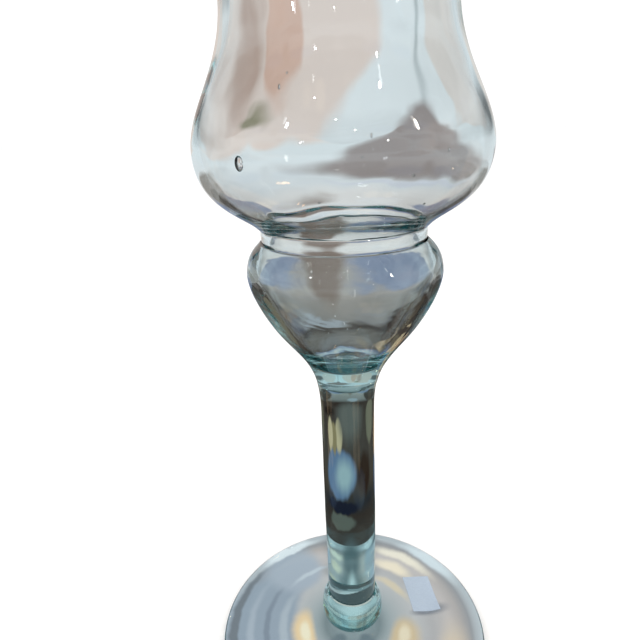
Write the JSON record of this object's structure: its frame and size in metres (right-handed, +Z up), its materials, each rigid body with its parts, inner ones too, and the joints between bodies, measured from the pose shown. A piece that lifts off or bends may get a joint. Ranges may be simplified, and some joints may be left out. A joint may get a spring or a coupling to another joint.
{
  "type": "goblet",
  "caption": "Hand-blown stemmed goblet in pale sea-green glass: flared bowl, neck ring, hollow lower bulb, solid stem, knop and round foot, with a blank paper label.",
  "frame": {"origin": "middle of the plane that the foot rests on, on the goblet's axis", "axes": "+Z up along the goblet's axis, -Y towards the viewer of the picture, +X to the right in it"},
  "size_m": [0.09, 0.09, 0.2255],
  "materials": {
    "foot_glass": "pale sea-green soda glass, spun flat, clear, with faint rings",
    "stem_glass": "pale sea-green soda glass, solid, looks darker because it is thick",
    "bulb_glass": "pale sea-green soda glass, blown, slightly wavy",
    "bowl_glass": "pale sea-green soda glass, thin, blown, slightly wavy, a few seeds",
    "label_paper": "matt blank paper, faintly blue"
  },
  "bodies": {
    "root": {"foot": "foot_glass", "stem_knop": "stem_glass", "stem": "stem_glass", "lower_bulb": "bulb_glass", "neck_ring": "bulb_glass", "bowl": "bowl_glass", "price_label": "label_paper"}
  },
  "joints": []
}
